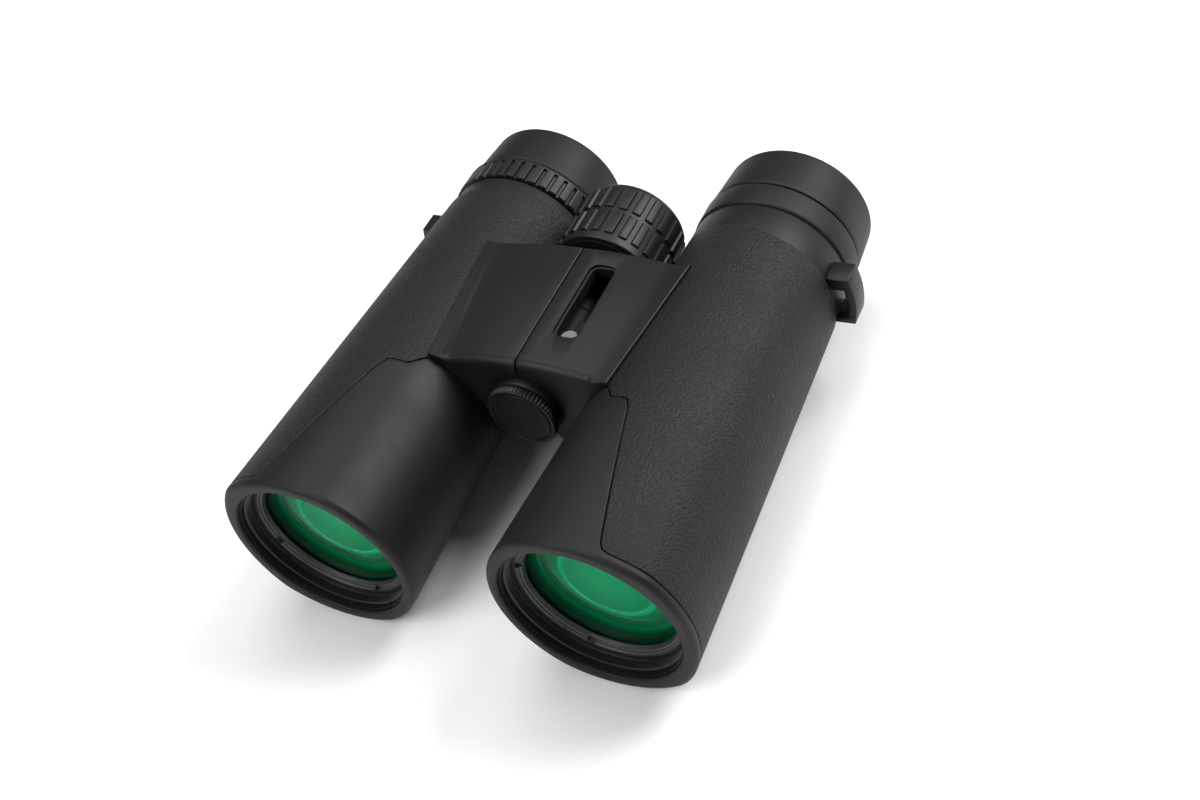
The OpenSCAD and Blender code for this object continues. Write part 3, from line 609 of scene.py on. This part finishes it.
def eyecupOutline():
    e = eyepiece
    front, rear, curve = e["front"], e["rear"], e["cupRound"]
    rounded = [(e["cupRearRadius"] - curve + curve * cos(radians(t)), rear - curve + curve * sin(radians(t)))
               for t in range(0, 91, 10)]
    sleeveFront, sleeveRear = front + 2.4, rear - 2.2
    return ([(e["driveRadius"], front + 0.15), (e["cupRadius"] - 0.45, front),
             (e["cupRadius"] - 0.15, front + 0.12), (e["cupRadius"], front + 0.5),
             (e["cupRadius"] - 0.02, front + 1.4)] + rounded +
            [(e["cupMouth"] + 1.1, rear), (e["cupMouth"] + 0.45, rear - 0.15),
             (e["cupMouth"] + 0.1, rear - 0.5), (e["cupMouth"], rear - 1.0), (e["cupMouth"], sleeveRear),
             (e["sleeveRadius"], sleeveRear), (e["sleeveRadius"], sleeveFront),
             (e["driveRadius"], sleeveFront), (e["driveRadius"], front + 0.15)])


def neckOutline():
    e = eyepiece
    neckFront, ringFront = barrel["length"], backOf("eyepiece_collar", 0)
    ringRear = backOf("eyepiece_collar", 1)
    return [(e["boreRadius"], neckFront), (21.35, neckFront), (21.4, neckFront + 0.3),
            (21.25, ringFront - 0.6), (21.1, ringFront - 0.25), (20.8, ringFront - 0.02),
            (e["guideRadius"], ringFront), (e["guideRadius"], ringRear), (e["boreRadius"], ringRear),
            (e["boreRadius"], neckFront)]


def collarOutline():
    e = eyepiece
    front, rear, radius = backOf("eyepiece_collar", 0), backOf("eyepiece_collar", 1), e["collarRadius"]
    return [(e["guideRadius"], front + 0.02), (radius - 0.75, front + 0.02), (radius - 0.35, front + 0.14),
            (radius - 0.08, front + 0.45), (radius, front + 0.9), (radius, rear - 0.95),
            (radius - 0.07, rear - 0.65), (radius - 0.3, rear - 0.42), (radius - 0.9, rear - 0.34),
            (radius - 1.0, rear), (e["guideRadius"], rear), (e["guideRadius"], front + 0.02)]


for side in (rightSide, leftSide):
    name = sideName[side]
    cup = turned(name + "RubberEyecup", barrelAxis(side), eyecupOutline(), 144)
    finished(cup, name + "_eyecup", eyecupRubber, "eyecup_rubber", name + "_rubber_eyecup", angle=40)
    neck = turned(name + "EyepieceNeck", barrelAxis(side), neckOutline(), 144)
    finished(neck, name + "_half", smoothArmour, "smooth_armour", name + "_eyepiece_housing", angle=40)
collar = turned("leftEyepieceCollar", barrelAxis(leftSide), collarOutline(), 144)
finished(collar, "left_half", smoothArmour, "smooth_armour", "eyepiece_collar", angle=40)


def blockRing():
    # rectangular blocks round the dioptre ring: twelve columns to each, three are the floor of a groove
    # that is open at the front
    e = eyepiece
    front, rear, radius = backOf("dioptre_ring", 0), backOf("dioptre_ring", 1), e["ringRadius"]
    inner = e["guideRadius"] + 0.06
    columns = e["ringBlocks"] * 12
    lip = [(radius - 0.2, front + 0.1), (radius - 0.04, front + 0.3)]
    top = [front + 0.6, front + 2.5, rear - 1.75, rear - 1.55, rear - 1.4]
    outline = [(inner, front), (radius - 0.85, front)] + lip + [(radius, back) for back in top]
    outline += [(radius, rear - 1.0), (radius - 0.06, rear - 0.7), (radius - 0.3, rear - 0.45),
                (radius - 0.9, rear - 0.35), (radius - 1.3, rear), (inner, rear), (inner, front)]
    ring = turned("dioptreRing", barrelAxis(rightSide), outline, columns)
    depth = e["blockDepth"]
    presses = []
    for around, back in lip:
        presses += [(around, back, 12, (11, 0, 1), depth - radius + around),
                    (around, back, 12, (10, 2), 0.05)]
    for back in top[:-1]:
        presses += [(radius, back, 12, (11, 0, 1), depth), (radius, back, 12, (10, 2), 0.08)]
    pressRows(ring, barrelAxis(rightSide), columns, presses)
    return ring


finished(blockRing(), "dioptre_control", gripRubber, "wheel_rubber", "dioptre_ring", angle=30)
print("eyepieces done")


# focus wheel

wheel = {"front": backOf("focus_wheel_grip", 0), "rear": backOf("focus_wheel_grip", 1), "thickness": 1.9,
         "pads": 24, "padHeight": 0.6, "plainEnd": 2.5, "rowGap": 1.3, "edgeRound": 2.4}
wheel["radius"] = (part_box("focus_wheel_grip")[1].z - hingeZ) / mm


def paddedGrip():
    # two rows of pads standing proud of the wheel: twelve columns to a pad and its gap, five are the flat top
    w = wheel
    front, rear, radius, curve = w["front"], w["rear"], w["radius"], w["edgeRound"]
    base, inner, columns = radius - w["padHeight"], radius - w["thickness"], w["pads"] * 12
    padLength = (rear - front - 2 * w["plainEnd"] - w["rowGap"]) / 2
    arc = [(base - curve + curve * cos(radians(t)), rear - curve + curve * sin(radians(t)))
           for t in range(0, 81, 10)]
    outline = [(inner, front), (base - 0.7, front), (base - 0.3, front + 0.1), (base - 0.05, front + 0.35),
               (base, front + 0.7)]
    presses = []
    for row in (0, 1):
        start = front + w["plainEnd"] + row * (padLength + w["rowGap"])
        end, high = start + padLength, w["padHeight"]
        rows = [(start, 0), (start + 0.07, high - 0.18), (start + 0.2, high - 0.04), (start + 0.45, high),
                (end - 0.45, high), (end - 0.2, high - 0.04), (end - 0.07, high - 0.18), (end, 0)]
        outline += [(base, back) for back, _ in rows]
        for back, rise in rows:
            presses += [(base, back, 12, (10, 11, 0, 1, 2), -rise), (base, back, 12, (9, 3), -rise * 0.9)]
    outline += arc[1:] + [(inner - 1.0, rear), (inner - 1.5, rear - 0.1), (inner - 1.8, rear - 0.4),
                          (inner - 1.8, rear - 1.2), (inner, rear - 1.2), (inner, front)]
    grip = turned("focusWheelGrip", hingeAxis, outline, columns)
    pressRows(grip, hingeAxis, columns, presses)
    return grip


finished(paddedGrip(), "focus_wheel", gripRubber, "wheel_rubber", "focus_wheel_grip", angle=30)


def endCapOutline():
    rear, outer = backOf("focus_wheel_end_cap", 1), wheel["radius"] - wheel["thickness"] - 1.85
    return [(outer, rear - 3), (outer, rear - 0.7), (outer - 0.2, rear - 0.35), (outer - 0.7, rear - 0.1),
            (outer - 1.2, rear - 0.05), (outer - 1.6, rear - 0.3), (outer - 2.0, rear - 0.55),
            (outer - 4.5, rear - 0.75), (2, rear - 0.8), (0, rear - 0.8)]


endCap = turned("focusWheelEndCap", hingeAxis, endCapOutline(), 96)
finished(endCap, "focus_wheel", smoothArmour, "bridge_plastic", "focus_wheel_end_cap")
print("focus wheel done")


# tripod cap and its collar

cap = {"radius": 9.4, "knurls": 56, "knurlDepth": 0.42, "studRadius": 3.1}
capFront, capRear = backOf("hinge_collar", 0) - 2.5, backOf("hinge_collar", 0) - 0.1


def knurledCap():
    c, columns = cap, cap["knurls"] * 4
    r = c["radius"]
    flank = [capRear - 0.45, capFront + 0.55]
    outline = [(c["studRadius"], capRear + 6.5), (c["studRadius"], capRear), (r - 0.5, capRear),
               (r - 0.15, capRear - 0.15), (r, flank[0]), (r, flank[1]), (r - 0.12, capFront + 0.25),
               (r - 0.4, capFront + 0.04), (r - 0.75, capFront), (r - 1.15, capFront),
               (r - 1.3, capFront + 0.12), (r - 1.38, capFront + 0.34), (r - 1.6, capFront + 0.36),
               (r - 1.7, capFront + 0.14), (r - 1.9, capFront + 0.02), (r - 5, capFront + 0.1),
               (1.5, capFront + 0.14), (0, capFront + 0.14)]
    body = turned("tripodCap", hingeAxis, outline, columns)
    presses = []
    for radius, back in ((r, flank[0]), (r, flank[1]), (r - 0.12, capFront + 0.25),
                         (r - 0.15, capRear - 0.15)):
        presses += [(radius, back, 4, (0,), c["knurlDepth"]),
                    (radius, back, 4, (1, 3), c["knurlDepth"] * 0.4)]
    pressRows(body, hingeAxis, columns, presses)
    return body


finished(knurledCap(), "cap", gripRubber, "bridge_plastic", "tripod_cap", angle=30)
collarFront, collarRear = backOf("hinge_collar", 0), backOf("hinge_collar", 1)
hingeCollar = turned("hingeCollar", hingeAxis, [
    (4.6, collarFront + 0.7), (7.5, collarFront + 0.7), (7.5, collarFront + 0.1), (7.65, collarFront),
    (8.9, collarFront), (9.2, collarFront + 0.08), (9.37, collarFront + 0.3), (9.4, collarFront + 0.6),
    (9.4, collarRear), (4.6, collarRear), (4.6, collarFront + 0.7)], 96)
finished(hingeCollar, "right_half", bridgePlastic, "bridge_plastic", "hinge_collar")
print("tripod cap done")


# bridge covers

cover = {"splitGap": 0.26, "frontHalf": 24.8, "rearHalf": 29.3, "crown": 14.7, "drop": 1.5, "depth": 12.0,
         "frontRound": 2.6, "edgeRound": 0.45, "wall": 2.2, "tubeRimRadius": 23.8, "tubeNeckRadius": 19.7,
         "knuckleRadius": 7.3, "pinRadius": 4.9, "foldAngle": 58.0, "strips": 9}
window = {"out": 8.65, "width": 5.9, "length": 23.9, "front": 11.4, "corner": 1.6, "border": 0.65,
          "step": 0.7}


def roundedSlot(out, middleBack, width, length, corner, low, high):
    slot = block((out - width / 2 * mm, 0, 0), (out + width / 2 * mm, length * mm, (high - low) * mm))
    edit(slot)
    selectEdges(slot, lambda a, b: abs(a.x - b.x) < tiny and abs(a.y - b.y) < tiny)
    bpy.ops.mesh.bevel(offset=corner * mm, segments=7, affect="EDGES")
    bpy.ops.mesh.select_all(action="SELECT")
    bpy.ops.transform.translate(value=(0, rimPlane + (middleBack - length / 2) * mm, hingeZ + low * mm))
    bpy.ops.object.mode_set(mode="OBJECT")
    return slot


def bridgeCover():  # the left one
    c = cover
    width, top, bottom = c["rearHalf"], c["crown"], -c["depth"]
    y0, y1 = rimPlane + bridgeFront * mm, rimPlane + bridgeBack * mm
    start = c["splitGap"] / 2
    shell = block((start * mm, y0, hingeZ + bottom * mm), (width * mm, y1, hingeZ + top * mm))
    edit(shell)
    for strip in range(1, c["strips"] + 1):  # gently domed: each cut sinks with its distance from the hinge
        x = (start + (width - start) * strip / c["strips"]) * mm
        bpy.ops.mesh.select_all(action="SELECT")
        bpy.ops.mesh.bisect(plane_co=(x, 0, 0), plane_no=(1, 0, 0))
        selectEdges(shell, lambda a, b: min(a.z, b.z) > hingeZ and max(abs(a.x - x), abs(b.x - x)) < tiny)
        bpy.ops.transform.translate(value=(0, 0, -c["drop"] * mm * (strip / c["strips"]) ** 2))
    selectFaces(shell, lambda at, normal: normal.y < -0.9)
    narrower = (c["frontHalf"] - start) / (width - start)
    bpy.ops.transform.resize(value=(narrower, 1, 1), center_override=(start * mm, y0, hingeZ))
    topZ, near = hingeZ + (top - c["drop"] - 0.4) * mm, 10 * tiny
    selectEdges(shell, lambda a, b: min(a.z, b.z) > topZ and max(a.y, b.y) < y0 + near)
    bpy.ops.mesh.bevel(offset=c["frontRound"] * mm, segments=7, profile=0.5, affect="EDGES",
                       clamp_overlap=False)

    def past(point):  # how far a point stands past the tapering outer side
        return point.x - (c["frontHalf"] + (width - c["frontHalf"]) * (point.y - y0) / (y1 - y0)) * mm

    selectEdges(shell, lambda a, b: min(a.z, b.z) > topZ - 3 * mm and (
        min(a.y, b.y) > y1 - near or max(a.x, b.x) < start * mm + tiny or min(past(a), past(b)) > -near))
    bpy.ops.mesh.bevel(offset=c["edgeRound"] * mm, segments=3, profile=0.5, affect="EDGES",
                       clamp_overlap=False)
    faceOutwards()
    inside = block(((start + 1.6) * mm, y0 + c["wall"] * mm, hingeZ + (bottom + c["wall"]) * mm),
                   (45 * mm, y1 - c["wall"] * mm, hingeZ + (top - c["drop"] - c["wall"]) * mm))
    cutWith(shell, inside)
    cutWith(shell, rod(hingeAxis, c["knuckleRadius"], bridgeFront + c["wall"], bridgeBack - c["wall"]))
    cutWith(shell, rod(hingeAxis, c["pinRadius"], bridgeFront - 1, bridgeBack + 1))
    cutWith(shell, rod(barrelAxis(leftSide), c["tubeRimRadius"], 0, barrel["length"], c["tubeNeckRadius"],
                       96))
    # the wedge below the hinge that lets the halves fold
    reach, spare = 0.06, 0.005
    relief = block((-reach / 2, y0 - spare, hingeZ - reach), (start * mm, y1 + spare, hingeZ))
    edit(relief, "VERT")
    lean = reach * tan(radians(c["foldAngle"] / 2 + 0.5))
    mesh = bmesh.from_edit_mesh(relief.data)
    for vertex in mesh.verts:
        vertex.select_set(vertex.co.x > 0 and vertex.co.z < hingeZ - reach / 2)
    mesh.select_flush_mode()
    bmesh.update_edit_mesh(relief.data)
    bpy.ops.transform.translate(value=(lean, 0, 0))
    bpy.ops.object.mode_set(mode="OBJECT")
    cutWith(shell, relief)
    return shell


def cutWindow(shell):
    w = window
    out, middle = w["out"] * mm, bridgeFront + w["front"] + w["length"] / 2
    border, above, ledge = w["border"], cover["crown"] + 1, cover["crown"] - 0.1 - w["step"]
    cutWith(shell, roundedSlot(out, middle, w["width"], w["length"], w["corner"], 2.0, above))
    cutWith(shell, roundedSlot(out, middle, w["width"] + 2 * border, w["length"] + 2 * border,
                               w["corner"] + border, ledge, above))

    def rim(grow, lowest, highest):
        halfWide, halfLong = (w["width"] / 2 + grow) * mm, (w["length"] / 2 + grow) * mm
        curve = (w["corner"] + grow) * mm
        middleY = rimPlane + middle * mm

        def onOutline(p):
            x, y = abs(p.x - out) - halfWide + curve, abs(p.y - middleY) - halfLong + curve
            reach = sqrt(max(x, 0) ** 2 + max(y, 0) ** 2) + min(max(x, y), 0)
            return abs(reach - curve) < 30 * tiny and hingeZ + lowest * mm < p.z < hingeZ + highest * mm
        return lambda a, b: onOutline(a) and onOutline(b)

    edit(shell)
    selectEdges(shell, rim(border, cover["crown"] - 0.55, cover["crown"] + 0.1))
    bpy.ops.mesh.bevel(offset=0.16 * mm, segments=2, affect="EDGES", clamp_overlap=False)
    selectEdges(shell, rim(0, ledge - 0.05, ledge + 0.05))
    bpy.ops.mesh.bevel(offset=0.2 * mm, segments=2, affect="EDGES", clamp_overlap=False)
    bpy.ops.object.mode_set(mode="OBJECT")


leftCover = bridgeCover()
leftCover.name = leftCover.data.name = "leftBridgeCover"
rightCover = mirrored(leftCover, "rightBridgeCover")
cutWindow(leftCover)
finished(leftCover, "left_half", bridgePlastic, "bridge_plastic", "left_bridge_cover", angle=25)
finished(rightCover, "right_half", bridgePlastic, "bridge_plastic", "right_bridge_cover", angle=25)
print("bridge covers done")


# objectives

objective = {"recess": 5.4, "glassRadius": 20.65, "curve": 105.0, "glassThickness": 0.9, "ringOpening": 18.9,
             "notches": 4, "notchWidth": 2.2, "notchTurn": 20.0, "threadWall": 21.97, "threadTurns": 5,
             "threadPitch": 0.5}


def glassBack(radius):  # how far behind the rims the front glass lies
    curve = objective["curve"]
    return objective["recess"] + 0.5 + curve - sqrt(curve ** 2 - radius ** 2)


def objectiveSet(side):
    name, axis, o = sideName[side], barrelAxis(side), objective
    body = name + "_half"
    wall, teeth = o["threadWall"], []
    for tooth in range(o["threadTurns"]):  # the thread that the retaining ring was screwed in by
        teeth += [(21.85, 2.5 + tooth * o["threadPitch"]), (21.45, 2.7 + tooth * o["threadPitch"])]
    outline = [(wall, 2.42)] + teeth + [(21.3, 5.1), (21.3, 5.38), (wall, 5.38), (wall, 2.42)]
    thread = turned(name + "RecessThread", axis, outline, 96)
    finished(thread, body, blackAnodised, "lens_mount")
    recess, opening = o["recess"], o["ringOpening"]
    keeper = turned(name + "RetainingRing", axis, [
        (20.65, recess), (20.65, recess + 2.3), (opening, recess + 1.9), (opening, recess + 1.5),
        (opening + 0.25, recess + 1.1), (opening + 0.3, recess + 0.75), (opening + 0.75, recess + 0.6),
        (opening + 0.8, recess + 0.2), (opening + 1.0, recess), (20.65, recess)], 120)
    for notch in range(o["notches"]):
        turn = radians(o["notchTurn"] + 360 / o["notches"] * notch)
        halfWide = o["notchWidth"] / 2 * mm
        cutter = block((-halfWide, -1.2 * mm, (opening - 1) * mm), (halfWide, 1.1 * mm, 20.5 * mm))
        edit(cutter)
        bpy.ops.mesh.select_all(action="SELECT")
        middle = Matrix.Translation((axis.x, rimPlane + recess * mm, axis.z))
        mesh = bmesh.from_edit_mesh(cutter.data)
        mesh.transform(middle @ Matrix.Rotation(side * turn, 4, "Y"))
        bmesh.update_edit_mesh(cutter.data)
        bpy.ops.object.mode_set(mode="OBJECT")
        cutWith(keeper, cutter)
    finished(keeper, body, greyAnodised, "lens_mount", name + "_objective_retainer")
    radii = [o["glassRadius"] * share / 8 for share in range(8, 0, -1)]
    front = [(r, glassBack(r)) for r in radii]
    behind = [(r, b + o["glassThickness"]) for r, b in reversed(front)]
    glass = turned(name + "FrontGlass", axis, behind + front + [(0, glassBack(0))], 96)
    finished(glass, body, frontGlass, "objective_glass", name + "_objective_lens", angle=60)
    # the second glass in its stepped cell, seen through the first
    deep = recess + 3.6
    steps = [(20.5, deep), (19.3, deep + 0.5), (19.15, deep + 1.1), (18.1, deep + 1.5), (17.95, deep + 2.1),
             (17.0, deep + 2.4), (16.85, deep + 2.9), (15.9, deep + 3.1), (15.0, deep + 2.6),
             (13.0, deep + 1.9), (11.3, deep + 1.45), (11.0, deep + 1.7), (9.0, deep + 1.2),
             (6.0, deep + 0.75), (3.0, deep + 0.5), (0, deep + 0.42)]
    second = turned(name + "SecondGlass", axis, [(20.5, deep + 5)] + steps, 96)
    finished(second, body, secondGlass[side], "objective_glass", angle=30)


secondGlass = {side: paintedCoatingReflection(sideName[side] + "GreenCoatedGlass", side, 20.5)
               for side in (rightSide, leftSide)}
for side in (rightSide, leftSide):
    objectiveSet(side)
print("objectives done")


# strap lugs: the CAD loop with its edges rolled over

lugEdge = {"mergeGap": 0.01, "flatAngle": 3, "sharpAngle": 50, "round": 0.28}

for side in (rightSide, leftSide):
    name = sideName[side]
    pick(nodes[name + "_strap_lug"])
    bpy.ops.object.duplicate(linked=False)
    lug = bpy.context.object
    lug.name = lug.data.name = name + "StrapLug"
    for key in list(lug.keys()):
        del lug[key]
    lug.parent = None
    closeUp(lug, lugEdge["mergeGap"] * mm)
    edit(lug)
    bpy.ops.mesh.select_all(action="SELECT")
    bpy.ops.mesh.dissolve_limited(angle_limit=radians(lugEdge["flatAngle"]))
    bpy.ops.object.mode_set(mode="OBJECT")
    applyModifier(lug, "BEVEL", width=lugEdge["round"] * mm, segments=2, limit_method="ANGLE",
                  angle_limit=radians(lugEdge["sharpAngle"]))
    finished(lug, name + "_half", bridgePlastic, "bridge_plastic", name + "_strap_lug")
print("strap lugs done")


# stage and light

camera = {"azimuth": 38.64, "elevation": 44.29, "roll": -19.55, "distance": 0.4145, "aimBack": 0.0685,
          "right": 0.00752, "up": -0.00648, "lens": 48.82}
azimuth, elevation, roll = (radians(camera[k]) for k in ("azimuth", "elevation", "roll"))
toCamera = Vector((sin(azimuth) * cos(elevation), -cos(azimuth) * cos(elevation), sin(elevation)))
levelRight = Vector((cos(azimuth), sin(azimuth), 0))
levelUp = toCamera.cross(levelRight)
cameraRight = levelRight * cos(roll) + levelUp * sin(roll)
cameraUp = levelUp * cos(roll) - levelRight * sin(roll)
aim = Vector((0, rimPlane + camera["aimBack"], barrelZ))
bpy.ops.object.camera_add()
sceneCamera = bpy.context.object
sceneCamera.name = "studioCamera"
sceneCamera.data.lens = camera["lens"]
sceneCamera.data.sensor_width = 36
sceneCamera.data.clip_start = 0.01
stand = Matrix((cameraRight, cameraUp, toCamera)).transposed().to_4x4()
stand.translation = (aim + toCamera * camera["distance"] + cameraRight * camera["right"]
                     + cameraUp * camera["up"])
sceneCamera.matrix_world = stand
bpy.context.scene.camera = sceneCamera

studio = {"floorSize": 6.0, "floorBelow": 0.0002, "worldLevel": 0.16}
deselectAll()
bpy.ops.mesh.primitive_plane_add(size=studio["floorSize"], location=(0, 0, -studio["floorBelow"]))
floor = bpy.context.object
floor.name = floor.data.name = "paleFloor"
# matt painted board, nearly white
paintedBoard = cloudedMaterial("mattPaintedBoard", "#f3f3f3", "#f6f6f6", 300, 2.0, Roughness=0.9,
                               Specular_IOR_Level=0.1)[0]
floor.data.materials.append(paintedBoard)

world = bpy.data.worlds.new("studioWorld")
bpy.context.scene.world = world
world.use_nodes = True
background = world.node_tree.nodes["Background"]
background.inputs["Color"].default_value = (1, 1, 1, 1)
background.inputs["Strength"].default_value = studio["worldLevel"]


def softBox(name, place, size, power):
    bpy.ops.object.light_add(type="AREA", location=place)
    light = bpy.context.object
    light.name = name
    light.data.shape = "DISK"
    light.data.size = size
    light.data.energy = power
    light.rotation_euler = (Vector((0, 0, 0.02)) - Vector(place)).to_track_quat("-Z", "Y").to_euler()
    return light


softBox("keyFromRight", (0.6, 0.62, 0.8), 0.75, 15)
softBox("topBox", (-0.25, 0.35, 1.25), 1.2, 10)
softBox("frontFill", (-0.35, -0.9, 1.05), 1.0, 12)
bpy.context.scene.view_settings.view_transform = "Standard"
print("stage and light done")

# every other CAD part keeps its shape and gets its finish, painted shade and highlight included
finishes = {
    "barrel_tube": chassisPlasticAndShade, "armour": pebbledArmour, "front_panel": smoothArmour,
    "objective_cell": blackAnodised, "objective_lens": frontGlass, "objective_retainer": greyAnodised,
    "focusing_cell": blackAnodised, "focusing_lens": prismGlass, "prism_frame": chassisPlasticAndShade,
    "schmidt_prism": prismGlass, "half_penta_prism": prismGlass, "eyepiece_housing": smoothArmour,
    "eyecup_guide": blackAnodised, "field_lens_cell": blackAnodised, "field_lens": prismGlass,
    "eye_lens": eyeGlassAndShade, "eyecup_drive_ring": blackAnodised, "eyecup_sleeve": blackAnodised,
    "rubber_eyecup": eyecupRubber, "strap_lug": bridgePlastic, "bridge_cover": bridgePlastic,
    "hinge_arm": chassisPlasticAndShade, "focus_arm": blackOxideAndShade, "dioptre_ring": gripRubber,
    "eyepiece_collar": smoothArmour, "tripod_socket_pin": machinedBrass, "rear_hinge_pin": stainless,
    "hinge_washers": machinedBrass, "hinge_collar": bridgePlastic, "tripod_cap": gripRubber,
    "tripod_cap_seal": sealRubber, "focus_carriage": blackOxideAndShade, "focus_index": pointerAcetal,
    "focus_screw": stainless, "focus_wheel_hub": chassisPlasticAndShade, "focus_wheel_grip": gripRubber,
    "focus_wheel_end_cap": smoothArmour,
}
for node, part in nodes.items():
    kind = node.replace("right_", "").replace("left_", "")
    for socket in part.material_slots:
        socket.material = finishes[kind]
print("finishes given to the CAD parts")
